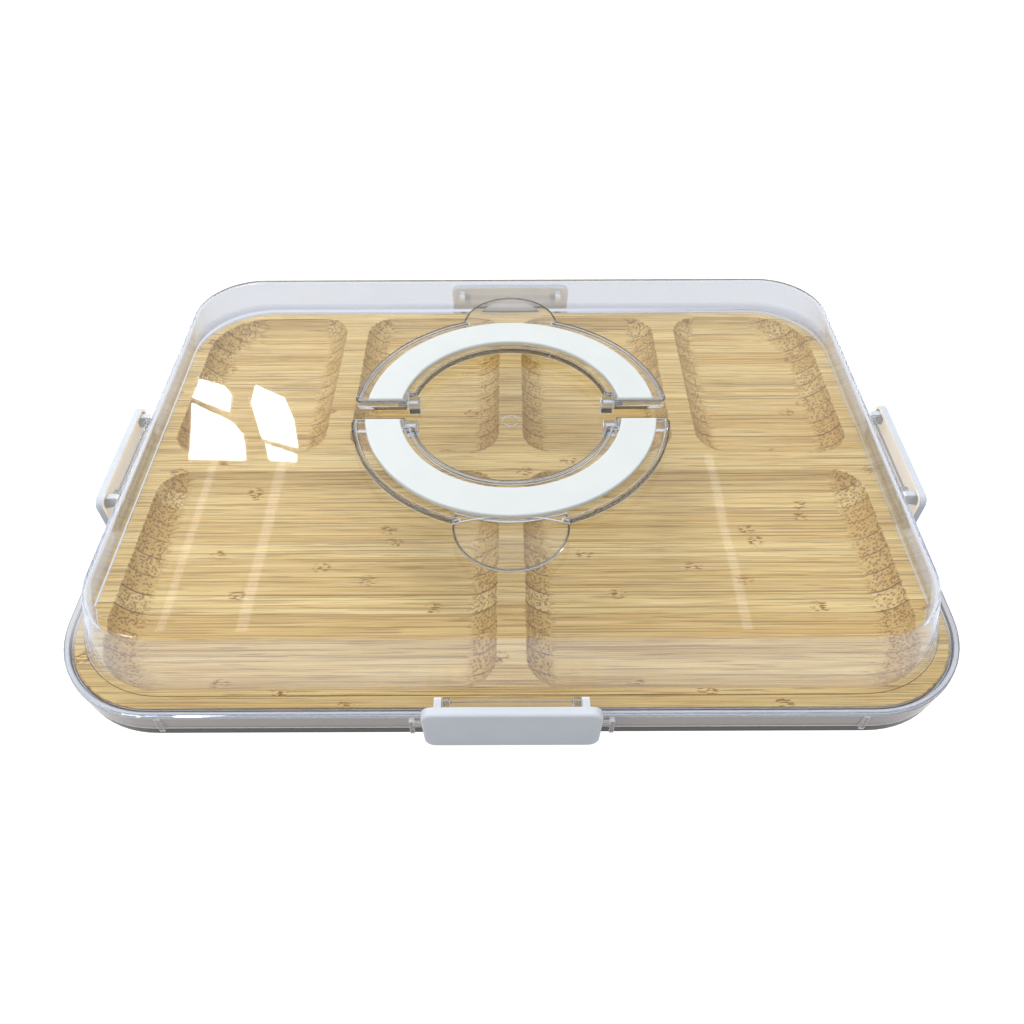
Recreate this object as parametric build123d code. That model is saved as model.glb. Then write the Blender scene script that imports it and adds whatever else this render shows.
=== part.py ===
"""Carry case with a bamboo serving board.

A clear tray holds a bamboo board with six routed pockets. A clear lid stands on the tray's rim and is held
by four swinging latches, one on each side. Two half rings hinged on top of the lid fold up into a handle.

Sizes are in millimetres. +X runs along the long side, +Y to the rear and +Z up. The origin is on the
table, under the middle of the case.
"""

import os
from math import sqrt

from build123d import *

# Fits
fit_gap = 0.3              # between pieces that move apart
board_side_gap = 0.7       # all round the board, so that it drops in easily
pin_fixed_gap = 0.02       # radial, round a pin that is held
pin_running_gap = 0.05     # radial, round a pin that turns

# Base tray
rim_length = 416.0
rim_width = 309.0
rim_corner_radius = 50.0
base_height = 17.0
base_draft = 1.0           # how far the wall leans in from the rim down to the foot band
foot_band_height = 6.3
foot_band_inset = 0.7
foot_band_edge_radius = 1.2
tray_wall = 3.3
tray_floor = 2.0
foot_recess_depth = 1.6
foot_ring_width = 7.0
rim_edge_radius = 0.8
rib_seat_depth = 2.4       # the widened mouth that takes the lid's inner rib
rib_seat_width = 0.8

# Catches on the tray's sides
catch_half_length = 42.6
catch_low = 11.0
catch_thickness = 2.5
catch_reach = 1.9
stop_rib_width = 2.0
corner_rib_offset = 54.0   # from the tray's end to the thin upright rib by each corner
corner_rib_width = 2.2
corner_rib_reach = 0.5

# Bamboo board
board_thickness = 12.7
board_edge_radius = 1.0
pocket_depth = 10.0
cove_radius = 16.0
board_margin_x = 13.3
board_margin_y = 10.95
divider = 14.2
cross_divider_y = 3.65      # middle of the divider that runs along the board
rear_pocket_count = 4
front_pocket_count = 2
pocket_inner_radius = 17.0
pocket_outer_radius = 34.0
pocket_lip_radius = 0.8

# Lid
lid_wall = 2.0
lid_ledge_x = 7.75         # from the rim's ends in to the lid's wall
lid_ledge_y = 9.0          # from the rim's long sides in to the lid's wall
lid_corner_ease = 4.0      # the wall's corners are this much tighter than the rim's
lid_lean = 10.0            # how far each wall leans in from foot to top
lid_top_height = 50.3
lid_top_edge_radius = 4.0
flange_thickness = 1.8
flange_inset = 0.3
flange_edge_radius = 0.6
lid_rib_depth = 2.2
lid_rib_thickness = 0.9
gate_mark_radius = 4.6
gate_mark_ring = 0.9
gate_mark_depth = 0.3

# Latches
latch_length = 77.6
latch_end_taper = 0.9
latch_corner_radius = 5.0
latch_low = 3.0
latch_top = 29.5
latch_depth = 4.2
latch_shell = 1.8
latch_face_radius = 1.4
catch_clearance = 0.4      # the latch stands this far outside the catch when its flex is left out
hook_drop = 0.6            # from the catch's underside down to the hook rib
hook_thickness = 1.5
hook_half_length = 30.0
latch_hinge_inset = 2.0    # from the rim's outer face in to the hinge line
latch_hinge_height = 24.5
ear_inner = 30.0
ear_width = 3.2
ear_radius = 2.9
ear_root_drop = 5.0
lug_gap = 0.4
lug_width = 3.2
lug_radius = 2.8
latch_rod_radius = 1.5
latch_rod_end_cover = 0.9

# Folding handle
ring_outer_radius = 82.0
ring_width = 31.0
ring_thickness = 2.8
ring_height = 5.2          # of the folded ring's underside above the lid
ring_end_gap = 6.0         # from the middle line to each half's end
ring_rim_width = 2.2       # of the raised rims on both sides of the grip
ring_rim_edge_radius = 0.6
ring_end_wall = 1.7
ring_end_corner_radius = 4.0
end_bar_width = 6.4        # the thick clear bar that takes the pins
end_bar_height = 6.0
end_bar_edge_radius = 1.5
grip_outer_margin = 7.0    # from the ring's outer edge in to the grip
grip_inner_margin = 6.0
grip_thickness = 2.6
grip_stand_out = 1.1
grip_edge_radius = 0.9
grip_seat_gap = 0.1
finger_tab_radius = 27.0
finger_tab_inset = 4.0     # of the tab's centre from the ring's outer edge
finger_tab_drop = 2.1      # from the ring's top down to the tab's top
finger_tab_thickness = 1.6
finger_tab_edge_radius = 0.5
scoop_radius = 85.0        # in plan, where the ring's rim is cut away above the tab
dish_radius = 19.0
dish_depth = 0.7
dish_wall = 1.0            # left standing outside the grip

# Handle hinges
handle_hinge_height = 4.6  # above the lid's top
handle_hinge_setback = 3.2  # from each half's end
knuckle_overhang = 3.4     # of the knuckles past the ring's inner edge
knuckle_width = 6.0
knuckle_radius = 3.3
knuckle_side_gap = 0.5
knuckle_wall = 0.8         # round the notch that clears a knuckle
handle_pin_radius = 1.0
handle_pin_cover = 0.9
handle_pin_reach = 5.0

sides = ("front", "rear", "left", "right")
halves = ("rear", "front")


def block(length, width, radius, low, high):
    """An upright block with rounded corners between two heights."""
    return Pos(0, 0, low) * extrude(RectangleRounded(length, width, radius), high - low)


def leaning_block(length, width, radius, low, high, lean):
    """A rounded block whose four walls lean in by the same amount."""
    foot = Pos(0, 0, low) * RectangleRounded(length, width, radius)
    top = Pos(0, 0, high) * RectangleRounded(length - 2 * lean, width - 2 * lean, radius - lean)
    return loft([foot.face(), top.face()], ruled=True)


def edges_at(shape, height):
    """The level edges that lie at one height."""
    return shape.edges().filter_by_position(Axis.Z, height - 0.01, height + 0.01)


def box_between(x_low, x_high, y_low, y_high, z_low, z_high):
    """A plain block given by its limits."""
    size = (x_high - x_low, y_high - y_low, z_high - z_low)
    return Pos(x_low, y_low, z_low) * Box(*size, align=(Align.MIN, Align.MIN, Align.MIN))


def rod_between(x_low, x_high, y, z, radius):
    """A round rod along X."""
    return Pos(x_low, y, z) * Rot(0, 90, 0) * extrude(Circle(radius), x_high - x_low)


def place_on_side(side):
    """Where a piece drawn for the front goes: x runs along the side and y = 0 is the rim's face."""
    turn = {"front": 0, "right": 90, "rear": 180, "left": -90}[side]
    reach = rim_width / 2 if side in ("front", "rear") else rim_length / 2
    return Rot(0, 0, turn) * Pos(0, -reach, 0)


# Heights and outlines that follow from the sizes above
tray_floor_top = foot_recess_depth + tray_floor
board_low = tray_floor_top + fit_gap
board_top = board_low + board_thickness
rib_seat_length = rim_length - 2 * (tray_wall - rib_seat_width)
rib_seat_span = rim_width - 2 * (tray_wall - rib_seat_width)
rib_seat_radius = rim_corner_radius - tray_wall + rib_seat_width
tray_inner_length = rim_length - 2 * tray_wall
tray_inner_width = rim_width - 2 * tray_wall
tray_inner_radius = rim_corner_radius - tray_wall
board_length = tray_inner_length - 2 * board_side_gap
board_width = tray_inner_width - 2 * board_side_gap
board_radius = tray_inner_radius - board_side_gap
flange_low = base_height + fit_gap
flange_top = flange_low + flange_thickness
lid_foot_length = rim_length - 2 * lid_ledge_x
lid_foot_width = rim_width - 2 * lid_ledge_y
lid_foot_radius = rim_corner_radius - lid_corner_ease
catch_face = -catch_reach
latch_inner_face = catch_face - catch_clearance
latch_outer_face = latch_inner_face - latch_depth
ring_inner_radius = ring_outer_radius - ring_width
grip_outer_radius = ring_outer_radius - grip_outer_margin
grip_inner_radius = ring_inner_radius + grip_inner_margin
finger_tab_centre = ring_outer_radius - finger_tab_inset
ring_low = lid_top_height + ring_height
ring_top = ring_low + ring_thickness
tab_top = ring_top - finger_tab_drop
grip_top = ring_top + grip_stand_out
grip_low = grip_top - grip_thickness
handle_axis_z = lid_top_height + handle_hinge_height
handle_axis_y = ring_end_gap + handle_hinge_setback
knuckle_inner = ring_inner_radius - knuckle_overhang
knuckle_outer = knuckle_inner + knuckle_width


def make_base_tray():
    """The clear tray: leaning wall, recessed foot band, rib seat, catches and thin upright ribs."""
    wall = leaning_block(
        rim_length - 2 * base_draft, rim_width - 2 * base_draft, rim_corner_radius - base_draft,
        foot_band_height, base_height, -base_draft)
    inset = base_draft + foot_band_inset
    band = block(rim_length - 2 * inset, rim_width - 2 * inset, rim_corner_radius - inset,
                 0, foot_band_height)
    band = fillet(edges_at(band, 0), foot_band_edge_radius)
    tray = wall + band
    tray = fillet(edges_at(tray, base_height), rim_edge_radius)
    tray -= block(tray_inner_length, tray_inner_width, tray_inner_radius, tray_floor_top, base_height + 1)
    tray -= block(rib_seat_length, rib_seat_span, rib_seat_radius,
                  base_height - rib_seat_depth, base_height + 1)
    recess_inset = inset + foot_ring_width
    tray -= block(rim_length - 2 * recess_inset, rim_width - 2 * recess_inset,
                  rim_corner_radius - recess_inset, -1, foot_recess_depth)
    for side in sides:
        tray += place_on_side(side) * make_catch()
    for side in ("front", "rear"):
        for end in (-1, 1):
            x = end * (rim_length / 2 - corner_rib_offset)
            rib = box_between(x - corner_rib_width / 2, x + corner_rib_width / 2,
                              -corner_rib_reach, tray_wall / 2,
                              foot_band_height, base_height - rim_edge_radius)
            tray += place_on_side(side) * rib
    return tray


def make_catch():
    """The ledge that a latch hooks under, with an upright stop rib at each end."""
    ledge = box_between(-catch_half_length, catch_half_length, catch_face, tray_wall / 2,
                        catch_low, catch_low + catch_thickness)
    outer_edges = ledge.edges().filter_by(Axis.X).group_by(Axis.Y)[0]
    ledge = chamfer(outer_edges, catch_thickness / 4)
    for end in (-1, 1):
        x = end * (catch_half_length + stop_rib_width / 2)
        ledge += box_between(x - stop_rib_width / 2, x + stop_rib_width / 2, catch_face,
                             tray_wall / 2, foot_band_height, base_height - rim_edge_radius)
    return ledge


def pocket_outline(x_low, x_high, y_low, y_high, grow):
    """A pocket's outline at the level where its cove would stand upright."""
    board_corner_x = board_length / 2 - board_margin_x
    board_corner_y = board_width / 2 - board_margin_y
    rectangle = Pos((x_low + x_high) / 2, (y_low + y_high) / 2) * Rectangle(
        x_high - x_low + 2 * grow, y_high - y_low + 2 * grow)
    outer = []
    inner = []
    for corner in rectangle.vertices():
        at_end = abs(abs(corner.X) - board_corner_x - grow) < 0.01
        at_side = abs(abs(corner.Y) - board_corner_y - grow) < 0.01
        (outer if at_end and at_side else inner).append(corner)
    rectangle = fillet(inner, pocket_inner_radius + grow)
    if outer:
        left = [v for v in rectangle.vertices()
                if any((v.center() - corner.center()).length < 0.01 for corner in outer)]
        rectangle = fillet(left, pocket_outer_radius + grow)
    return rectangle


def pocket_limits():
    """The limits of every pocket at the board's top face."""
    end = board_length / 2 - board_margin_x
    rear = board_width / 2 - board_margin_y
    rows = (
        (rear_pocket_count, cross_divider_y + divider / 2, rear),
        (front_pocket_count, -rear, cross_divider_y - divider / 2),
    )
    for count, y_low, y_high in rows:
        length = (2 * end - (count - 1) * divider) / count
        for number in range(count):
            x_low = -end + number * (length + divider)
            yield x_low, x_low + length, y_low, y_high


def make_board():
    """The board with its coved pockets."""
    board = block(board_length, board_width, board_radius, board_low, board_top)
    board = fillet(edges_at(board, board_top) + edges_at(board, board_low), board_edge_radius)
    floor = board_top - pocket_depth
    cove_run = sqrt(cove_radius ** 2 - (cove_radius - pocket_depth) ** 2)
    grow = cove_radius - cove_run
    for limits in pocket_limits():
        cutter = Pos(0, 0, floor) * extrude(pocket_outline(*limits, grow), cove_radius + pocket_depth)
        board -= fillet(edges_at(cutter, floor), cove_radius)
    top_face = board.faces().sort_by(Axis.Z)[-1]
    lips = [edge for wire in top_face.inner_wires() for edge in wire.edges()]
    return fillet(lips, pocket_lip_radius)


def make_lid():
    """The clear lid: leaning walls, flange, locating rib, hinge lugs and knuckles."""
    shell = leaning_block(lid_foot_length, lid_foot_width, lid_foot_radius,
                          flange_low, lid_top_height, lid_lean)
    shell = fillet(edges_at(shell, lid_top_height), lid_top_edge_radius)
    flange = block(rim_length - 2 * flange_inset, rim_width - 2 * flange_inset,
                   rim_corner_radius - flange_inset, flange_low, flange_top)
    flange = fillet(edges_at(flange, flange_top), flange_edge_radius)
    rib_outside = block(rib_seat_length - 2 * fit_gap, rib_seat_span - 2 * fit_gap,
                        rib_seat_radius - fit_gap, flange_low - lid_rib_depth, flange_low)
    lid = shell + flange + rib_outside
    rib_gap = fit_gap + lid_rib_thickness
    lid -= block(rib_seat_length - 2 * rib_gap, rib_seat_span - 2 * rib_gap, rib_seat_radius - rib_gap,
                 flange_low - lid_rib_depth - 1, flange_low)
    hollow = leaning_block(lid_foot_length - 2 * lid_wall, lid_foot_width - 2 * lid_wall,
                           lid_foot_radius - lid_wall, flange_low, lid_top_height - lid_wall,
                           lid_lean * (lid_top_height - lid_wall - flange_low)
                           / (lid_top_height - flange_low))
    hollow = fillet(edges_at(hollow, lid_top_height - lid_wall), lid_top_edge_radius - lid_wall / 2)
    lid -= hollow
    for side in sides:
        for end in (-1, 1):
            lid += place_on_side(side) * make_latch_lug(end)
    for half in halves:
        for end in (-1, 1):
            lid += place_half(half) * make_knuckle(end)
    ring_groove = Circle(gate_mark_radius) - Circle(gate_mark_radius - gate_mark_ring)
    lid -= Pos(0, 0, lid_top_height - gate_mark_depth) * extrude(ring_groove, gate_mark_depth + 1)
    return lid


def upright_lug(x_low, x_high, axis_y, axis_z, radius, foot, foot_front):
    """A lug with a round top about a hinge line along X and a foot that starts at foot_front."""
    return (rod_between(x_low, x_high, axis_y, axis_z, radius)
            + box_between(x_low, x_high, foot_front, axis_y + radius, foot, axis_z))


def make_latch_lug(end):
    """One of the two lugs that carry a latch's hinge rod."""
    near = ear_inner - lug_gap - lug_width
    far = ear_inner - lug_gap
    x_low, x_high = sorted((end * near, end * far))
    lug = upright_lug(x_low, x_high, latch_hinge_inset, latch_hinge_height, lug_radius,
                      flange_top - flange_thickness / 2, flange_inset + flange_edge_radius)
    return lug - rod_between(x_low - 1, x_high + 1, latch_hinge_inset, latch_hinge_height,
                             latch_rod_radius + pin_fixed_gap)


def make_latch_rod():
    """The clear rod that a latch swings on."""
    reach = ear_inner + ear_width - latch_rod_end_cover
    return rod_between(-reach, reach, latch_hinge_inset, latch_hinge_height, latch_rod_radius)


def make_latch():
    """One latch: a shallow shell with a hook rib and two ears."""
    middle = (latch_low + latch_top) / 2
    half_height = (latch_top - latch_low) / 2
    top_half = latch_length / 2
    low_half = top_half - latch_end_taper
    outline = Polygon((-low_half, -half_height), (low_half, -half_height),
                      (top_half, half_height), (-top_half, half_height), align=None)
    outline = fillet(outline.vertices(), latch_corner_radius)
    hollow = offset(outline, -latch_shell)
    face_plane = Plane(origin=(0, latch_inner_face, middle), x_dir=(1, 0, 0), z_dir=(0, -1, 0))
    plate = extrude(face_plane * outline, latch_depth)
    plate = fillet(plate.faces().sort_by(Axis.Y)[0].edges(), latch_face_radius)
    plate -= extrude(face_plane * hollow, latch_depth - latch_shell)
    hook_top = catch_low - hook_drop
    plate += box_between(-hook_half_length, hook_half_length,
                         latch_outer_face + latch_shell / 2, latch_inner_face,
                         hook_top - hook_thickness, hook_top)
    for end in (-1, 1):
        plate += make_ear(end)
    reach = ear_inner + ear_width - latch_rod_end_cover + fit_gap
    return plate - rod_between(-reach, reach, latch_hinge_inset, latch_hinge_height,
                               latch_rod_radius + pin_running_gap)


def make_ear(end):
    """An ear that reaches in from the latch's plate and takes the end of the rod."""
    root = latch_outer_face + latch_shell / 2
    x_low, x_high = sorted((end * ear_inner, end * (ear_inner + ear_width)))
    web = Polygon((latch_hinge_inset, latch_hinge_height + ear_radius),
                  (root, latch_hinge_height + ear_radius),
                  (root, latch_hinge_height - ear_root_drop),
                  (latch_hinge_inset, latch_hinge_height - ear_radius), align=None)
    side_plane = Plane(origin=(x_low, 0, 0), x_dir=(0, 1, 0), z_dir=(1, 0, 0))
    return (extrude(side_plane * web, x_high - x_low)
            + rod_between(x_low, x_high, latch_hinge_inset, latch_hinge_height, ear_radius))


def place_half(half):
    """The handle halves are drawn for the rear. The front one is turned half round."""
    return Rot(0, 0, 0 if half == "rear" else 180)


def half_ring(outer_radius, inner_radius, start, low, high):
    """Half of a flat ring, from a line parallel to X rearwards."""
    ring = Circle(outer_radius) - Circle(inner_radius)
    keep = Pos(0, start) * Rectangle(3 * outer_radius, 2 * outer_radius,
                                     align=(Align.CENTER, Align.MIN))
    return Pos(0, 0, low) * extrude(ring & keep, high - low)


def make_knuckle(end):
    """A knuckle on the lid's top that holds the inner end of a handle pin."""
    x_low, x_high = sorted((end * knuckle_inner, end * knuckle_outer))
    knuckle = upright_lug(x_low, x_high, handle_axis_y, handle_axis_z, knuckle_radius,
                          lid_top_height - lid_wall / 2, handle_axis_y - knuckle_radius)
    bore_start = knuckle_inner + handle_pin_cover
    bore_low, bore_high = sorted((end * bore_start, end * (knuckle_outer + 1)))
    return knuckle - rod_between(bore_low, bore_high, handle_axis_y, handle_axis_z,
                                 handle_pin_radius + pin_running_gap)


def make_handle_pins():
    """The pair of pins that join the knuckles and the ends of a half ring."""
    start = knuckle_inner + handle_pin_cover + fit_gap
    stop = knuckle_outer + knuckle_side_gap + handle_pin_reach
    return (rod_between(start, stop, handle_axis_y, handle_axis_z, handle_pin_radius)
            + rod_between(-stop, -start, handle_axis_y, handle_axis_z, handle_pin_radius))


def make_finger_tab():
    """The thin round tab that a finger lifts the half ring by."""
    tab = Pos(0, finger_tab_centre, tab_top - finger_tab_thickness) * extrude(
        Circle(finger_tab_radius), finger_tab_thickness)
    tab = fillet(tab.edges(), finger_tab_edge_radius)
    return tab - Pos(0, 0, ring_low - ring_thickness) * extrude(
        Circle(grip_outer_radius), 2 * ring_thickness)


def make_scoop():
    """What is cut away above the tab: the ring's rim, and a shallow dish for the fingertip."""
    junction_y = (ring_outer_radius ** 2 - finger_tab_radius ** 2 + finger_tab_centre ** 2) / (
        2 * finger_tab_centre)
    junction_x = sqrt(ring_outer_radius ** 2 - junction_y ** 2)
    scoop_centre = junction_y + sqrt(scoop_radius ** 2 - junction_x ** 2)
    rim_cut = Pos(0, scoop_centre, tab_top) * extrude(Circle(scoop_radius), ring_thickness)
    ball_radius = (dish_radius ** 2 + dish_depth ** 2) / (2 * dish_depth)
    dish = Pos(0, ring_outer_radius, tab_top - dish_depth + ball_radius) * Sphere(ball_radius)
    dish = dish & box_between(-dish_radius, dish_radius, 0, ring_outer_radius + dish_radius,
                              ring_low, tab_top)
    dish -= Pos(0, 0, ring_low) * extrude(Circle(grip_outer_radius + dish_wall), ring_thickness)
    return rim_cut + dish


def notch_cutter(grow, low, high):
    """The two notches in a half ring that clear the knuckles."""
    reach_x = knuckle_outer + knuckle_side_gap + grow
    reach_y = handle_axis_y + knuckle_radius + knuckle_side_gap + grow
    return box_between(-reach_x, reach_x, 0, reach_y, low, high)


def make_handle_frame():
    """One clear half ring: a trough for the grip, thick end bars, a finger tab and hinge notches."""
    bar_low = ring_top - end_bar_height
    bars = half_ring(ring_outer_radius, ring_inner_radius, ring_end_gap, bar_low, ring_top)
    bars &= box_between(-ring_outer_radius, ring_outer_radius, 0, ring_end_gap + end_bar_width,
                        bar_low, ring_top)
    frame = half_ring(ring_outer_radius, ring_inner_radius, ring_end_gap, ring_low, ring_top)
    frame = frame + bars - notch_cutter(0, bar_low, ring_top)
    upright = frame.edges().filter_by(Axis.Z).filter_by(
        lambda edge: abs(edge.center().X) > grip_outer_radius)
    frame = fillet(upright.group_by(Axis.Y)[0], ring_end_corner_radius)
    frame = fillet(edges_at(frame, bar_low), end_bar_edge_radius)
    frame = fillet(edges_at(frame, ring_top), ring_rim_edge_radius)
    frame += make_finger_tab()
    frame -= make_scoop()
    trough = half_ring(ring_outer_radius - ring_rim_width, ring_inner_radius + ring_rim_width,
                       ring_end_gap + ring_end_wall, grip_low - grip_seat_gap, ring_top)
    frame -= trough - notch_cutter(knuckle_wall, bar_low, ring_top)
    for end in (-1, 1):
        bore_x = sorted((end * knuckle_inner,
                         end * (knuckle_outer + knuckle_side_gap + handle_pin_reach + fit_gap)))
        frame -= rod_between(*bore_x, handle_axis_y, handle_axis_z,
                             handle_pin_radius + pin_fixed_gap)
    return frame


def make_handle_grip():
    """The white half ring set into the frame."""
    grip = half_ring(grip_outer_radius, grip_inner_radius,
                     ring_end_gap + ring_end_wall + grip_seat_gap, grip_low, grip_top)
    return fillet(edges_at(grip, grip_top), grip_edge_radius)


def save(shape, node):
    """Write one piece to its own file."""
    export_step(shape, f"parts/{node}.step")


os.makedirs("parts", exist_ok=True)
save(make_base_tray(), "base_tray")
save(make_board(), "bamboo_board")
save(make_lid(), "lid")
latch = make_latch()
latch_rod = make_latch_rod()
for side in sides:
    save(place_on_side(side) * latch, f"latch_{side}")
    save(place_on_side(side) * latch_rod, f"latch_rod_{side}")
frame = make_handle_frame()
grip = make_handle_grip()
pins = make_handle_pins()
for half in halves:
    save(place_half(half) * frame, f"handle_frame_{half}")
    save(place_half(half) * grip, f"handle_grip_{half}")
    save(place_half(half) * pins, f"handle_pins_{half}")
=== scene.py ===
from math import radians

import bpy
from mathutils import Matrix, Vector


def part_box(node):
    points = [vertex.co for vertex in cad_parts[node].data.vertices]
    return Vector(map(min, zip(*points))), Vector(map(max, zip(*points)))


bl_info = {
    "name": "Covered Serving Board",
    "version": (1, 0, 0),
    "blender": (4, 5, 0),
    "location": "3D View > Sidebar > Serving Board",
    "description": "Dresses a clear carry case with a bamboo board, white latches and a ring handle",
    "category": "Object",
}

SIDES = ("front", "rear", "left", "right")
HALVES = ("rear", "front")

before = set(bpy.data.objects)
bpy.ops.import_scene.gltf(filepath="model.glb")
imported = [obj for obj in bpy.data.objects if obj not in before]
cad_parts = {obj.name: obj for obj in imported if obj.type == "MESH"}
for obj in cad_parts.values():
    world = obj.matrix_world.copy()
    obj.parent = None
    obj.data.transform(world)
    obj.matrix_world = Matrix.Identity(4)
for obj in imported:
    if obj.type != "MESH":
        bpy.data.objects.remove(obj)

# The tray's wall from the table up, with its painted shade and painted highlights: where each tone gives way
# to the next, in metres
FOOT_SHADOW_LINE = (0.0014, 0.0022)
FOOT_SHADE = (0.0040, 0.0050)
FOOT_TOP = (0.0058, 0.0063)
STEP_HIGHLIGHT = (0.0070, 0.0076)
WALL_FOOT = (0.0075, 0.0100)
WALL_MIDDLE = (0.0080, 0.0150)
TRAY_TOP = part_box("base_tray")[1][2]
RIM_HIGHLIGHT = (TRAY_TOP - 0.0012, TRAY_TOP - 0.0006)

# The lid's leaning wall, which stands on its flange, with its painted veil and painted glints
FLANGE_TOP = TRAY_TOP + 0.0018
PAINTED_VEIL = 0.09
PAINTED_VEIL_STARTS = (FLANGE_TOP + 0.0012, FLANGE_TOP + 0.0052)
EDGE_GLINTS_START = (FLANGE_TOP + 0.0012, FLANGE_TOP + 0.0032)
FOOT_GLINT = 0.8
FOOT_GLINT_STARTS = (FLANGE_TOP, FLANGE_TOP + 0.0006)
FOOT_GLINT_ENDS = (FLANGE_TOP + 0.0020, FLANGE_TOP + 0.0030)
LIT_FROM_Y = (-0.125, -0.105)  # the painted glint along the wall's foot starts behind its front
LIT_TO_X = (0.0, 0.17)         # and fades towards its right

# Bamboo: sizes in metres, and how often each mark comes per metre along X, Y and Z
STRIP_WIDTH = 0.0115
STRIP_WANDER = 0.0016
JOINT_ROW = 0.0085
JOINT_SPACING = 0.19
JOINT_REACH = 0.0055
WANDER = (5.0, 1.0, 1.0)
FIBRES = (20.0, 1800.0, 1800.0)
STREAKS = (9.0, 420.0, 420.0)
LONG_DASHES = (8.0, 1250.0, 1250.0)
SHORT_DASHES = (30.0, 1700.0, 1700.0)
JOINT_TICKS = (330.0, 1100.0, 1100.0)
FIBRE_ENDS = (650.0, 720.0, 650.0)
LINE_BREAKS = (24.0, 60.0, 60.0)

# Plastic
SCUFFS = (300.0, 90.0, 300.0)  # per metre along X, Y and Z
THROUGH_PLASTIC = (0.96, 0.965, 0.975, 1.0)
ABSORPTION = 40.0
TRAPPED_DEPTH = 3.5            # rays that bounce about inside clear plastic leave it after this many turns

# Stage: places in metres
WHITE = (1.0, 1.0, 1.0, 1.0)
TABLE_REACH = 3.0
TABLE_DROP = 0.0002            # the table's top lies this far under the tray
BEHIND_WHITE = 0.74            # how bright the table looks in and through shiny things
KEY_SIZE = 0.8
KEY_PLACE = (-0.6, 0.8, 1.4)
WINDOW_Y = 1.10
WINDOW_PANES = (               # corners in X and Z
    ((-0.656, 0.898), (-0.609, 0.917), (-0.600, 0.945), (-0.616, 0.992), (-0.685, 0.950)),
    ((-0.691, 0.966), (-0.616, 1.024), (-0.600, 1.060), (-0.614, 1.142), (-0.745, 1.136)),
    ((-0.541, 0.918), (-0.487, 0.955), (-0.478, 1.020), (-0.485, 1.103), (-0.561, 1.067), (-0.560, 0.964)),
    ((-0.557, 1.087), (-0.491, 1.124), (-0.498, 1.148), (-0.558, 1.142)),
)
SIDE_WINDOW = ((-1.30, -0.75, 0.75), (-1.05, -1.0, 0.75), (-1.05, -1.0, 1.25), (-1.30, -0.75, 1.25))
SIDE_WINDOW_SHARE = 0.4        # of the window's brightness
TUBE_HEIGHT = 1.6
TUBE_ENDS = (0.87, 1.60)       # in Y
CEILING_TUBES = ((-0.910, 0.022), (-0.700, 0.030), (0.612, 0.026))  # place in X, and width
GLOW_ABOVE = (0.22, 1.4)       # light that the surroundings give from the side and from above


# Node tools


def rgb(red, green, blue):
    """A linear colour from sRGB values of 0 to 255."""
    values = []
    for value in (red, green, blue):
        value /= 255
        values.append(value / 12.92 if value <= 0.04045 else ((value + 0.055) / 1.055) ** 2.4)
    return (*values, 1.0)


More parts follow.
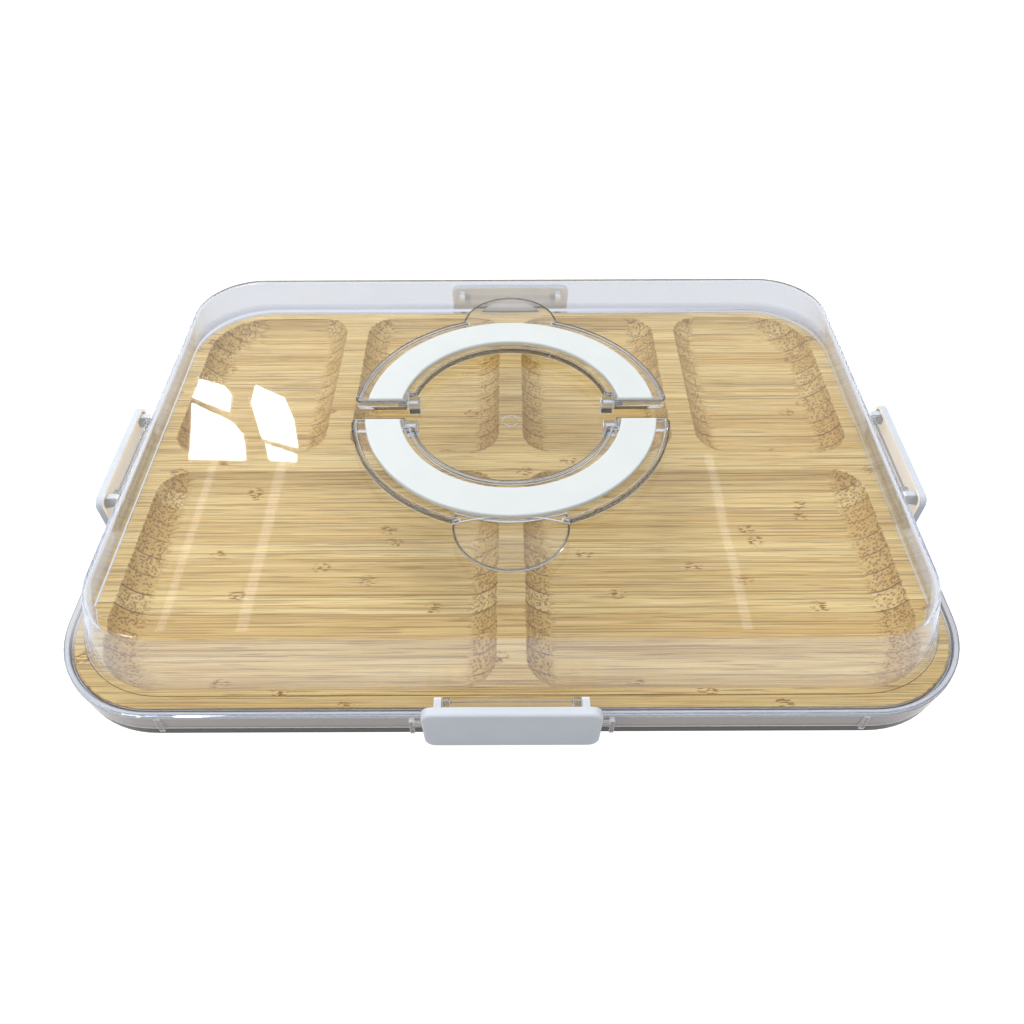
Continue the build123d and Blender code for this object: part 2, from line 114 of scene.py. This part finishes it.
class Nodes:
    """Adds and joins nodes in one node tree."""

    def __init__(self, tree):
        self.tree = tree

    def add(self, kind, inputs=None, **settings):
        """Adds a node, sets its properties, then sets or links its inputs."""
        node = self.tree.nodes.new(kind)
        for name, value in settings.items():
            setattr(node, name, value)
        for name, value in (inputs or {}).items():
            self.feed(node.inputs[name], value)
        return node

    def feed(self, socket, value):
        """Links a socket to another one, or gives it a value."""
        if isinstance(value, bpy.types.NodeSocket):
            self.tree.links.new(value, socket)
        else:
            socket.default_value = value

    def math(self, operation, first, second=0.0, clamp=False):
        """One sum. Returns its result's socket."""
        node = self.add("ShaderNodeMath", {0: first, 1: second}, operation=operation, use_clamp=clamp)
        return node.outputs[0]

    def times(self, first, second):
        """Two values multiplied."""
        return self.math("MULTIPLY", first, second)

    def plus(self, first, second, clamp=False):
        """Two values added up."""
        return self.math("ADD", first, second, clamp)

    def larger(self, first, second):
        """The larger one of two values."""
        return self.math("MAXIMUM", first, second)

    def range(self, value, low, high, to_low=0.0, to_high=1.0, smooth=True):
        """Maps one range to another, and stays at its ends outside it."""
        node = self.add(
            "ShaderNodeMapRange",
            {"Value": value, "From Min": low, "From Max": high, "To Min": to_low, "To Max": to_high},
            interpolation_type="SMOOTHSTEP" if smooth else "LINEAR",
        )
        return node.outputs[0]

    def fall(self, value, low, high):
        """1 up to the low end, and 0 from the high end on."""
        return self.range(value, low, high, 1.0, 0.0)

    def mix(self, factor, first, second):
        """Mixes two colours. The node's colour sockets share their names, so they go by number."""
        node = self.add("ShaderNodeMix", {0: factor}, data_type="RGBA")
        self.feed(node.inputs[6], first)
        self.feed(node.inputs[7], second)
        return node.outputs[2]

    def blend(self, factor, first, second):
        """Mixes two shaders."""
        return self.add("ShaderNodeMixShader", {0: factor, 1: first, 2: second}).outputs[0]

    def noise(self, vector, scale, detail=2.0, roughness=0.5):
        """Plain noise. Returns its factor."""
        node = self.add(
            "ShaderNodeTexNoise",
            {"Vector": vector, "Scale": scale, "Detail": detail, "Roughness": roughness},
        )
        return node.outputs["Fac"]

    def marks(self, vector, per_metre, detail=2.0, roughness=0.5):
        """Noise that comes so often per metre along X, Y and Z."""
        return self.noise(self.stretch(vector, per_metre), 1.0, detail, roughness)

    def dice(self, number):
        """Three values by chance for each whole number, as Red, Green and Blue."""
        chance = self.add("ShaderNodeTexWhiteNoise", {"W": number}, noise_dimensions="1D").outputs["Color"]
        return self.add("ShaderNodeSeparateColor", {"Color": chance}).outputs

    def place(self):
        """Where a point of the case is at rest, in metres."""
        return self.add("ShaderNodeTexCoord").outputs["Object"]

    def normal(self):
        """Which way the surface faces."""
        return self.add("ShaderNodeNewGeometry").outputs["Normal"]

    def split(self, vector):
        """A vector's X, Y and Z."""
        return self.add("ShaderNodeSeparateXYZ", {"Vector": vector}).outputs

    def dot(self, first, second):
        """How far two directions agree."""
        node = self.add("ShaderNodeVectorMath", {0: first, 1: second}, operation="DOT_PRODUCT")
        return node.outputs["Value"]

    def stretch(self, vector, factors):
        """Scales a vector along X, Y and Z."""
        return self.add("ShaderNodeVectorMath", {0: vector, 1: factors}, operation="MULTIPLY").outputs[0]


def new_group(name, inputs, outputs):
    """Makes a shader node group and returns it with its tools, its inputs and its output node."""
    group = bpy.data.node_groups.new(name, "ShaderNodeTree")
    for socket_name, kind, value in inputs:
        socket = group.interface.new_socket(socket_name, in_out="INPUT", socket_type=kind)
        if value is not None:
            socket.default_value = value
    for socket_name, kind in outputs:
        group.interface.new_socket(socket_name, in_out="OUTPUT", socket_type=kind)
    nodes = Nodes(group)
    return group, nodes, nodes.add("NodeGroupInput").outputs, nodes.add("NodeGroupOutput").inputs


def make_bamboo_group():
    """Laminated bamboo: strips along X with glue lines, grain, growth joints and open ends."""
    group, nodes, given, result = new_group(
        "bamboo_strips",
        [
            ("Strip Width", "NodeSocketFloat", STRIP_WIDTH),
            ("Light Colour", "NodeSocketColor", rgb(246, 218, 150)),
            ("Dark Colour", "NodeSocketColor", rgb(202, 160, 80)),
            ("Line Colour", "NodeSocketColor", rgb(118, 76, 14)),
            ("Joint Colour", "NodeSocketColor", rgb(150, 104, 16)),
        ],
        [("Colour", "NodeSocketColor"), ("Roughness", "NodeSocketFloat"), ("Height", "NodeSocketFloat")],
    )
    place = nodes.place()
    axes = nodes.split(place)
    across = nodes.plus(axes["Y"], nodes.times(nodes.marks(place, WANDER, 1.0), STRIP_WANDER))
    counted = nodes.math("DIVIDE", across, given["Strip Width"])
    inside = nodes.math("FRACT", counted)
    strip = nodes.dice(nodes.math("FLOOR", counted))

    # Faces that turn towards X are cut across the fibres
    facing = nodes.split(nodes.normal())
    cut = nodes.range(nodes.math("ABSOLUTE", facing["X"]), 0.06, 0.32)

    # Fine fibres, long in X, with their own start in each strip
    start = nodes.plus(axes["X"], nodes.times(strip["Red"], 9.0))
    shifted = nodes.add("ShaderNodeCombineXYZ", {"X": start, "Y": axes["Y"], "Z": axes["Z"]}).outputs[0]
    fibre = nodes.marks(shifted, FIBRES, 3.0, 0.7)
    streak = nodes.marks(shifted, STREAKS, 3.0, 0.55)
    tone = nodes.plus(nodes.times(strip["Green"], 0.45), nodes.times(nodes.range(streak, 0.36, 0.64), 0.35))
    tone = nodes.plus(tone, nodes.times(nodes.range(fibre, 0.36, 0.64), 0.35), clamp=True)
    colour = nodes.mix(tone, given["Light Colour"], given["Dark Colour"])
    colour = nodes.mix(grain_dashes(nodes, shifted, cut), colour, given["Line Colour"])
    colour = nodes.mix(growth_joints(nodes, place, axes), colour, given["Joint Colour"])

    # Cut fibre ends show as dots
    dots = nodes.add(
        "ShaderNodeTexVoronoi", {"Vector": nodes.stretch(place, FIBRE_ENDS), "Scale": 1.0},
    ).outputs["Distance"]
    dots = nodes.times(nodes.fall(dots, 0.34, 0.50), cut)
    colour = nodes.mix(nodes.times(cut, nodes.times(strip["Blue"], 0.8)), colour, given["Dark Colour"])
    colour = nodes.mix(nodes.times(dots, 0.62), colour, given["Line Colour"])

    # Steep faces are painted darker: painted shade on the pockets' slopes
    steep_shade = nodes.times(nodes.fall(facing["Z"], 0.15, 0.70), 0.26)
    colour = nodes.mix(steep_shade, colour, given["Line Colour"])

    line = glue_lines(nodes, shifted, inside, strip, cut)
    colour = nodes.mix(line, colour, given["Line Colour"])

    nodes.feed(result["Colour"], colour)
    nodes.feed(result["Roughness"], nodes.range(fibre, 0.2, 0.8, 0.42, 0.6))
    height = nodes.math("SUBTRACT", nodes.times(fibre, 0.3), line)
    nodes.feed(result["Height"], nodes.math("SUBTRACT", height, dots))
    return group


def grain_dashes(nodes, shifted, cut):
    """A mask for the broken dark lines of the grain, which fade where the fibres are cut."""
    long_dash = nodes.range(nodes.marks(shifted, LONG_DASHES), 0.565, 0.615)
    short_dash = nodes.range(nodes.marks(shifted, SHORT_DASHES, 1.0), 0.61, 0.65)
    return nodes.times(nodes.larger(long_dash, short_dash), nodes.range(cut, 0.0, 1.0, 0.52, 0.16))


def growth_joints(nodes, place, axes):
    """A mask for the growth joints: small bunches of short marks, by chance at one place in a row."""
    row = nodes.math("DIVIDE", axes["Y"], JOINT_ROW)
    luck = nodes.dice(nodes.plus(nodes.math("FLOOR", row), 400.0))
    counted = nodes.plus(nodes.math("DIVIDE", axes["X"], JOINT_SPACING), luck["Blue"])
    squares = []
    for part, reach in ((counted, JOINT_SPACING / JOINT_REACH), (row, 2.1)):
        off = nodes.times(nodes.math("SUBTRACT", nodes.math("FRACT", part), 0.5), reach)
        squares.append(nodes.math("POWER", nodes.math("ABSOLUTE", off), 2.0))
    joint = nodes.times(nodes.fall(nodes.plus(*squares), 0.35, 1.0), nodes.range(luck["Green"], 0.30, 0.36))
    return nodes.times(joint, nodes.range(nodes.marks(place, JOINT_TICKS, 1.0), 0.53, 0.56))


def glue_lines(nodes, shifted, inside, strip, cut):
    """A mask for the glue lines between strips, some of them darker than others."""
    from_line = nodes.math("MINIMUM", inside, nodes.math("SUBTRACT", 1.0, inside))
    reach = nodes.plus(0.034, nodes.times(cut, 0.030))
    line = nodes.fall(from_line, 0.010, reach)
    strength = nodes.plus(0.12, nodes.times(nodes.math("POWER", strip["Red"], 2.0), 0.85))
    strength = nodes.plus(strength, nodes.times(cut, 0.25), clamp=True)
    broken = nodes.range(nodes.marks(shifted, LINE_BREAKS, 1.0), 0.36, 0.56, 0.2, 1.0)
    return nodes.times(nodes.times(line, strength), nodes.larger(broken, cut))


def make_moulding_group():
    """Moulded plastic: faint waviness and light scuffs in the gloss."""
    group, nodes, given, result = new_group(
        "moulded_plastic",
        [
            ("Roughness", "NodeSocketFloat", 0.1),
            ("Scuffs", "NodeSocketFloat", 0.05),
            ("Wave Scale", "NodeSocketFloat", 30.0),
        ],
        [("Roughness", "NodeSocketFloat"), ("Height", "NodeSocketFloat"), ("Shade", "NodeSocketFloat")],
    )
    place = nodes.place()
    wave = nodes.noise(place, given["Wave Scale"], 1.0)
    scuff = nodes.range(nodes.marks(place, SCUFFS, 4.0, 0.65), 0.5, 0.75)
    nodes.feed(result["Roughness"], nodes.plus(given["Roughness"], nodes.times(scuff, given["Scuffs"])))
    nodes.feed(result["Height"], wave)
    nodes.feed(result["Shade"], nodes.range(wave, 0.3, 0.7))
    return group


def new_material(name):
    """An empty material with its tools."""
    material = bpy.data.materials.new(name)
    material.use_nodes = True
    material.node_tree.nodes.clear()
    return material, Nodes(material.node_tree)


def use_group(nodes, name, make, values):
    """Places a shared node group, which is made the first time it is asked for."""
    group = bpy.data.node_groups.get(name) or make()
    node = nodes.add("ShaderNodeGroup", node_tree=group)
    for socket, value in values.items():
        nodes.feed(node.inputs[socket], value)
    return node.outputs


def bump(nodes, height, distance, strength=1.0):
    """A bump normal."""
    return nodes.add(
        "ShaderNodeBump", {"Height": height, "Distance": distance, "Strength": strength}
    ).outputs["Normal"]


def bamboo_material(settings):
    """Oiled, laminated bamboo."""
    material, nodes = new_material("bamboo")
    strips = use_group(nodes, "bamboo_strips", make_bamboo_group, {"Strip Width": settings.strip_width})
    shader = nodes.add(
        "ShaderNodeBsdfPrincipled",
        {
            "Base Color": strips["Colour"],
            "Roughness": strips["Roughness"],
            "Normal": bump(nodes, strips["Height"], 0.00015),
            "IOR": 1.45,
        },
    )
    nodes.add("ShaderNodeOutputMaterial", {"Surface": shader.outputs[0]})
    return material


def clear_material(name, tint, depth, bending, edge, painted_edge_line=0.88, clearness=1.0, leaning_wall=False):
    """Clear plastic that light passes straight through, so that it doesn't darken what lies inside.

    Its edges get a painted dark line of the given strength, with a painted glint beside it; both stand in
    for the refraction in rounded edges.
    """
    material, nodes = new_material(name)
    moulding = use_group(nodes, "moulded_plastic", make_moulding_group,
                         {"Roughness": 0.02, "Scuffs": 0.03, "Wave Scale": 18.0})
    shader = nodes.add(
        "ShaderNodeBsdfPrincipled",
        {
            "Base Color": tint,
            "Roughness": moulding["Roughness"],
            "IOR": bending,
            "Transmission Weight": clearness,
            "Normal": bump(nodes, moulding["Height"], 0.0002, 0.3),
        },
    )
    surface = shader.outputs[0]
    normal = nodes.normal()
    if leaning_wall:
        # A pale painted veil on the leaning wall, which stands in for its reflection
        painted_veil_colour = nodes.add("ShaderNodeBsdfDiffuse", {"Color": rgb(214, 227, 250)}).outputs[0]
        surface = nodes.blend(painted_wall_veil(nodes, normal), surface, painted_veil_colour)

    # Painted edge lines: a dark line, with a painted glint beside it, standing in for the refraction in
    # rounded edges
    soft = nodes.add("ShaderNodeBevel", {"Radius": edge}, samples=4).outputs["Normal"]
    turn = nodes.math("SUBTRACT", 1.0, nodes.dot(soft, normal))
    dark = nodes.add("ShaderNodeBsdfDiffuse", {"Color": rgb(36, 38, 43)}).outputs[0]
    surface = nodes.blend(nodes.range(turn, 0.004, 0.020, 0.0, painted_edge_line), surface, dark)
    glint = nodes.range(turn, 0.15, 0.20, 0.0, 0.9)
    if leaning_wall:
        glint = painted_wall_glints(nodes, glint)
    bright = nodes.add("ShaderNodeEmission", {"Color": rgb(244, 247, 252)}).outputs[0]
    surface = nodes.blend(glint, surface, bright)

    # Shadows, scattered light and trapped rays pass straight through
    ray = nodes.add("ShaderNodeLightPath").outputs
    trapped = nodes.math("GREATER_THAN", ray["Ray Depth"], TRAPPED_DEPTH)
    passes = nodes.larger(nodes.larger(ray["Is Shadow Ray"], ray["Is Diffuse Ray"]), trapped)
    open_shader = nodes.add("ShaderNodeBsdfTransparent", {"Color": THROUGH_PLASTIC}).outputs[0]
    surface = nodes.blend(passes, surface, open_shader)
    absorb = nodes.add("ShaderNodeVolumeAbsorption", {"Color": depth, "Density": ABSORPTION})
    nodes.add("ShaderNodeOutputMaterial", {"Surface": surface, "Volume": absorb.outputs[0]})
    return material, nodes, shader


def painted_wall_veil(nodes, normal):
    """A mask for the painted veil on the lid's leaning wall, which stands in for the bright reflection in
    it.
    """
    level = nodes.math("ABSOLUTE", nodes.split(normal)["Z"])
    height = nodes.split(nodes.place())["Z"]
    return nodes.times(nodes.range(level, 0.35, 0.9, PAINTED_VEIL, 0.0), nodes.range(height, *PAINTED_VEIL_STARTS))


def painted_wall_glints(nodes, glint):
    """A mask for the lid's painted glints: on its edges above the flange, and in a line along the wall's
    foot.

    The line is strongest at the left, and there is none in front.
    """
    axes = nodes.split(nodes.place())
    edges = nodes.times(glint, nodes.range(axes["Z"], *EDGE_GLINTS_START))
    line = nodes.times(nodes.range(axes["Z"], *FOOT_GLINT_STARTS), nodes.fall(axes["Z"], *FOOT_GLINT_ENDS))
    lit = nodes.times(nodes.range(axes["Y"], *LIT_FROM_Y), nodes.range(axes["X"], *LIT_TO_X, 1.0, 0.2))
    return nodes.larger(edges, nodes.times(nodes.times(line, lit), FOOT_GLINT))


def paint_tray_light_and_shade(nodes, shader, tint):
    """Paints the tray's outer faces: a smoky wall, painted darker towards its foot as painted shade, a
    painted highlight line over a dark foot band of painted shade, and a painted highlight along its rim.
    """
    place = nodes.place()
    height = nodes.split(place)["Z"]
    normal = nodes.normal()
    level = nodes.math("ABSOLUTE", nodes.split(normal)["Z"])
    outer = nodes.times(nodes.fall(level, 0.5, 0.8), nodes.range(nodes.dot(place, normal), 0.01, 0.03))
    # Painted shade: a dark foot band, with a painted shadow line where it meets the table
    dark = rgb(14, 11, 9)
    foot = nodes.mix(nodes.range(height, *FOOT_SHADE), rgb(74, 68, 63), dark)
    foot = nodes.mix(nodes.fall(height, *FOOT_SHADOW_LINE), foot, dark)
    # The wall is painted darker towards its foot, as painted shade
    wall = nodes.mix(nodes.range(height, *WALL_FOOT), rgb(140, 135, 132), rgb(180, 175, 174))
    wall = nodes.mix(nodes.range(height, *WALL_MIDDLE), wall, tint)
    # A painted highlight line over the foot
    wall = nodes.mix(nodes.fall(height, *STEP_HIGHLIGHT), wall, rgb(250, 250, 250))
    wall = nodes.mix(nodes.fall(height, *FOOT_TOP), wall, foot)
    tone = nodes.mix(outer, rgb(205, 203, 204), wall)
    # A painted highlight along the rim
    tone = nodes.mix(nodes.range(height, *RIM_HIGHLIGHT), tone, rgb(244, 246, 249))
    nodes.feed(shader.inputs["Base Color"], tone)


def white_material(name, light, shade, roughness, bounce=0.0):
    """White moulded plastic. Its inner faces can glow with painted warm light, which stands in for the
    bamboo's bounce light.
    """
    material, nodes = new_material(name)
    moulding = use_group(nodes, "moulded_plastic", make_moulding_group,
                         {"Roughness": roughness, "Scuffs": 0.12, "Wave Scale": 60.0})
    shader = nodes.add(
        "ShaderNodeBsdfPrincipled",
        {
            "Base Color": nodes.mix(nodes.times(moulding["Shade"], 0.5), light, shade),
            "Roughness": moulding["Roughness"],
            "IOR": 1.5,
            "Subsurface Weight": 0.4,
            "Subsurface Radius": (1.0, 1.0, 1.0),
            "Subsurface Scale": 0.003,
            "Normal": bump(nodes, moulding["Height"], 0.0001, 0.2),
        },
    )
    if bounce:
        # Painted bounce light: the inner faces glow warm, as if lit by the bamboo
        level = nodes.stretch(nodes.place(), (1.0, 1.0, 0.0))
        outward = nodes.add("ShaderNodeVectorMath", {0: level}, operation="NORMALIZE").outputs[0]
        inner = nodes.fall(nodes.dot(outward, nodes.normal()), -0.7, -0.1)
        nodes.feed(shader.inputs["Emission Color"], nodes.mix(inner, rgb(0, 0, 0), rgb(255, 234, 198)))
        nodes.feed(shader.inputs["Emission Strength"], bounce)
    nodes.add("ShaderNodeOutputMaterial", {"Surface": shader.outputs[0]})
    return material


def pin_material():
    """Drawn steel wire."""
    material, nodes = new_material("pin_steel")
    moulding = use_group(nodes, "moulded_plastic", make_moulding_group,
                         {"Roughness": 0.28, "Scuffs": 0.2, "Wave Scale": 400.0})
    shader = nodes.add(
        "ShaderNodeBsdfPrincipled",
        {
            "Base Color": rgb(226, 228, 231),
            "Metallic": 1.0,
            "Roughness": moulding["Roughness"],
            "Normal": bump(nodes, moulding["Height"], 0.00002),
        },
    )
    nodes.add("ShaderNodeOutputMaterial", {"Surface": shader.outputs[0]})
    return material


def dress(names, material):
    """Gives CAD pieces their material."""
    for name in names:
        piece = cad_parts[name]
        piece.data.materials.clear()
        piece.data.materials.append(material)


# Settings


class BoardSettings(bpy.types.PropertyGroup):
    """How the bamboo board looks."""

    strip_width: bpy.props.FloatProperty(
        name="Strip width", description="Width of one bamboo strip", default=STRIP_WIDTH,
        min=0.002, max=0.03, unit="LENGTH")


class PlasticSettings(bpy.types.PropertyGroup):
    """How the clear and the white plastic look."""

    tray_tint: bpy.props.FloatVectorProperty(
        name="Tray tint", description="Colour of light through the tray", subtype="COLOR", size=4,
        default=(0.46, 0.44, 0.435, 1.0), min=0.0, max=1.0)
    lid_tint: bpy.props.FloatVectorProperty(
        name="Lid tint", description="Colour of light through the lid", subtype="COLOR", size=4,
        default=(0.925, 0.94, 0.96, 1.0), min=0.0, max=1.0)
    handle_tint: bpy.props.FloatVectorProperty(
        name="Handle tint", description="Colour of light through the handle", subtype="COLOR", size=4,
        default=(0.97, 0.97, 0.97, 1.0), min=0.0, max=1.0)


class StageSettings(bpy.types.PropertyGroup):
    """Camera and light."""

    camera_height: bpy.props.FloatProperty(
        name="Camera height", description="Height of the camera above the table", default=0.3523,
        unit="LENGTH")
    camera_back: bpy.props.FloatProperty(
        name="Camera distance", description="Distance of the camera in front of the middle of the case",
        default=0.3417, unit="LENGTH")
    camera_pitch: bpy.props.FloatProperty(
        name="Camera pitch", description="How far the camera looks down", default=radians(47.48),
        subtype="ANGLE")
    camera_roll: bpy.props.FloatProperty(
        name="Camera roll", description="How far the camera leans sideways", default=radians(-0.22),
        subtype="ANGLE")
    lens: bpy.props.FloatProperty(
        name="Lens", description="Focal length in millimetres", default=30.39, min=10.0, max=200.0)
    camera_shift: bpy.props.FloatProperty(
        name="Picture shift", description="How far the picture's middle lies beside the camera's axis",
        default=0.0009)
    key_power: bpy.props.FloatProperty(
        name="Key light", description="Power of the key light in watts", default=7.0, min=0.0)
    window_strength: bpy.props.FloatProperty(
        name="Window light", description="Brightness of the window's panes", default=22.0, min=0.0)
    tube_strength: bpy.props.FloatProperty(
        name="Ceiling light", description="Brightness of the ceiling's tubes", default=2.4, min=0.0)


# Operators


class DressBoard(bpy.types.Operator):
    """Give the board its bamboo."""

    bl_idname = "serving_board.dress_board"
    bl_label = "Bamboo Board"

    def execute(self, context):
        dress(["bamboo_board"], bamboo_material(context.scene.board_settings))
        return {"FINISHED"}


class DressTray(bpy.types.Operator):
    """Give the tray its clear plastic."""

    bl_idname = "serving_board.dress_tray"
    bl_label = "Clear Tray"

    def execute(self, context):
        tint = tuple(context.scene.plastic_settings.tray_tint)
        material, nodes, shader = clear_material("tray_clear", tint, depth=rgb(170, 165, 170), bending=1.49,
                                                 edge=0.0007, clearness=0.45)
        # Painted shade and painted highlights on the tray's wall
        paint_tray_light_and_shade(nodes, shader, tint)
        dress(["base_tray"], material)
        return {"FINISHED"}


class DressLid(bpy.types.Operator):
    """Give the lid its clear plastic."""

    bl_idname = "serving_board.dress_lid"
    bl_label = "Clear Lid"

    def execute(self, context):
        tint = tuple(context.scene.plastic_settings.lid_tint)
        clear, *_ = clear_material("lid_clear", tint, depth=rgb(125, 152, 202), bending=1.42, edge=0.0006,
                                   leaning_wall=True)
        dress(["lid"], clear)
        return {"FINISHED"}


class DressLatches(bpy.types.Operator):
    """Give the latches their white plastic and their rods the clear one."""

    bl_idname = "serving_board.dress_latches"
    bl_label = "Latches and Rods"

    def execute(self, context):
        # The latches' inner faces get painted warm bounce light
        white = white_material("latch_white", rgb(200, 206, 214), rgb(193, 199, 208), roughness=0.32,
                               bounce=0.46)
        dress([f"latch_{side}" for side in SIDES], white)
        tint = tuple(context.scene.plastic_settings.handle_tint)
        rod, *_ = clear_material("rod_clear", tint, depth=rgb(225, 226, 230), bending=1.4, edge=0.0004)
        dress([f"latch_rod_{side}" for side in SIDES], rod)
        return {"FINISHED"}


class DressHandle(bpy.types.Operator):
    """Give the two half rings, their grips and their pins their materials."""

    bl_idname = "serving_board.dress_handle"
    bl_label = "Folding Handle"

    def execute(self, context):
        tint = tuple(context.scene.plastic_settings.handle_tint)
        clear, *_ = clear_material("handle_clear", tint, depth=rgb(222, 214, 206), bending=1.42, edge=0.0014,
                                   painted_edge_line=1.0)
        dress([f"handle_frame_{half}" for half in HALVES], clear)
        white = white_material("grip_white", rgb(205, 210, 210), rgb(200, 206, 207), roughness=0.35)
        dress([f"handle_grip_{half}" for half in HALVES], white)
        dress([f"handle_pins_{half}" for half in HALVES], pin_material())
        return {"FINISHED"}


class BuildStage(bpy.types.Operator):
    """Put up the floor, the light and the camera."""

    bl_idname = "serving_board.build_stage"
    bl_label = "Stage"

    def execute(self, context):
        settings = context.scene.stage_settings
        make_floor()
        make_lamps(settings)
        make_world(context.scene)
        make_camera(context.scene, settings)
        return {"FINISHED"}


def add_sheet(name, corners, faces, material):
    """Puts a flat sheet on the stage."""
    mesh = bpy.data.meshes.new(name)
    mesh.from_pydata(corners, [], faces)
    mesh.materials.append(material)
    sheet = bpy.data.objects.new(name, mesh)
    bpy.context.scene.collection.objects.link(sheet)


def make_floor():
    """A table that is seen white and throws little light back."""
    material, nodes = new_material("floor_white")
    paper = nodes.noise(nodes.place(), 40.0, 3.0)
    ray = nodes.add("ShaderNodeLightPath").outputs
    through = nodes.larger(ray["Is Glossy Ray"], ray["Is Transmission Ray"])
    shader = nodes.add(
        "ShaderNodeBsdfPrincipled",
        {
            "Base Color": nodes.mix(paper, rgb(140, 140, 142), rgb(146, 146, 146)),
            "Roughness": 0.9,
            "Specular IOR Level": 0.0,
            "Emission Color": WHITE,
            "Emission Strength": nodes.larger(ray["Is Camera Ray"], nodes.times(through, BEHIND_WHITE)),
        },
    )
    nodes.add("ShaderNodeOutputMaterial", {"Surface": shader.outputs[0]})
    signs = ((-1, -1), (1, -1), (1, 1), (-1, 1))
    corners = [(TABLE_REACH * x, TABLE_REACH * y, -TABLE_DROP) for x, y in signs]
    add_sheet("floor", corners, [(0, 1, 2, 3)], material)


def make_glow(name, panes, strength):
    """Flat panes that give off light."""
    material, nodes = new_material(name)
    shader = nodes.add("ShaderNodeEmission", {"Color": WHITE, "Strength": strength})
    nodes.add("ShaderNodeOutputMaterial", {"Surface": shader.outputs[0]})
    corners = []
    faces = []
    for pane in panes:
        faces.append(tuple(range(len(corners), len(corners) + len(pane))))
        corners += pane
    add_sheet(name, corners, faces, material)


def make_lamps(settings):
    """A soft key lamp, and far windows and ceiling tubes that the lid's top reflects."""
    data = bpy.data.lights.new("key", "AREA")
    data.shape = "SQUARE"
    data.size = KEY_SIZE
    data.energy = settings.key_power
    key = bpy.data.objects.new("key", data)
    bpy.context.scene.collection.objects.link(key)
    key.location = KEY_PLACE
    key.rotation_mode = "QUATERNION"
    key.rotation_quaternion = key.location.to_track_quat("Z", "Y")
    key.visible_glossy = False
    key.visible_transmission = False

    window = [[(x, WINDOW_Y, z) for x, z in pane] for pane in WINDOW_PANES]
    make_glow("window", window, settings.window_strength)
    near, far = TUBE_ENDS
    tubes = []
    for x, width in CEILING_TUBES:
        left, right = x - width / 2, x + width / 2
        tubes.append([(left, near, TUBE_HEIGHT), (right, near, TUBE_HEIGHT),
                      (right, far, TUBE_HEIGHT), (left, far, TUBE_HEIGHT)])
    make_glow("ceiling_tubes", tubes, settings.tube_strength)
    make_glow("side_window", [SIDE_WINDOW], settings.window_strength * SIDE_WINDOW_SHARE)


def make_world(scene):
    """Plain white surroundings: seen white all round, and giving more light from above."""
    world = bpy.data.worlds.new("studio")
    scene.world = world
    world.use_nodes = True
    world.node_tree.nodes.clear()
    nodes = Nodes(world.node_tree)
    ray = nodes.add("ShaderNodeLightPath").outputs
    seen = nodes.larger(ray["Is Camera Ray"], nodes.larger(ray["Is Glossy Ray"], ray["Is Transmission Ray"]))
    way = nodes.add("ShaderNodeTexCoord").outputs["Generated"]
    dome = nodes.range(nodes.split(way)["Z"], -0.1, 0.9, *GLOW_ABOVE, smooth=False)
    strength = nodes.range(seen, 0.0, 1.0, dome, 1.0, smooth=False)
    background = nodes.add("ShaderNodeBackground", {"Color": WHITE, "Strength": strength})
    nodes.add("ShaderNodeOutputWorld", {"Surface": background.outputs[0]})


def make_camera(scene, settings):
    """The camera at the photograph's place."""
    data = bpy.data.cameras.new("camera")
    data.lens = settings.lens
    data.sensor_width = 36.0
    data.shift_x = settings.camera_shift
    data.clip_start = 0.01
    camera = bpy.data.objects.new("camera", data)
    scene.collection.objects.link(camera)
    camera.location = (0.0, -settings.camera_back, settings.camera_height)
    camera.rotation_mode = "ZXY"
    camera.rotation_euler = (radians(90) - settings.camera_pitch, 0.0, settings.camera_roll)
    scene.camera = camera


class ServingBoardPanel(bpy.types.Panel):
    """The buttons and settings of the serving board."""

    bl_idname = "VIEW3D_PT_serving_board"
    bl_label = "Serving Board"
    bl_space_type = "VIEW_3D"
    bl_region_type = "UI"
    bl_category = "Serving Board"

    def draw(self, context):
        for group, names in PANEL_ROWS:
            settings = getattr(context.scene, group)
            for name in names:
                self.layout.prop(settings, name)
        for operator in OPERATORS:
            self.layout.operator(operator.bl_idname)


PANEL_ROWS = (
    ("board_settings", ("strip_width",)),
    ("plastic_settings", ("tray_tint", "lid_tint", "handle_tint")),
    ("stage_settings", ("camera_height", "camera_back", "camera_pitch", "camera_roll", "lens",
                        "camera_shift", "key_power", "window_strength", "tube_strength")),
)
GROUPS = (("board_settings", BoardSettings), ("plastic_settings", PlasticSettings),
          ("stage_settings", StageSettings))
OPERATORS = (DressBoard, DressTray, DressLid, DressLatches, DressHandle, BuildStage)


def register():
    """Registers the settings, the operators and the panel."""
    for name, group in GROUPS:
        bpy.utils.register_class(group)
        setattr(bpy.types.Scene, name, bpy.props.PointerProperty(type=group))
    for item in (*OPERATORS, ServingBoardPanel):
        bpy.utils.register_class(item)


def unregister():
    """Takes everything back out."""
    for item in reversed((*OPERATORS, ServingBoardPanel)):
        bpy.utils.unregister_class(item)
    for name, group in reversed(GROUPS):
        delattr(bpy.types.Scene, name)
        bpy.utils.unregister_class(group)


def main():
    """Builds everything in order."""
    register()
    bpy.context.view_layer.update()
    bpy.ops.serving_board.dress_board()
    bpy.ops.serving_board.dress_tray()
    bpy.ops.serving_board.dress_lid()
    bpy.ops.serving_board.dress_latches()
    bpy.ops.serving_board.dress_handle()
    bpy.ops.serving_board.build_stage()
    bpy.context.scene.view_settings.view_transform = "Standard"


if __name__ == "__main__":
    main()
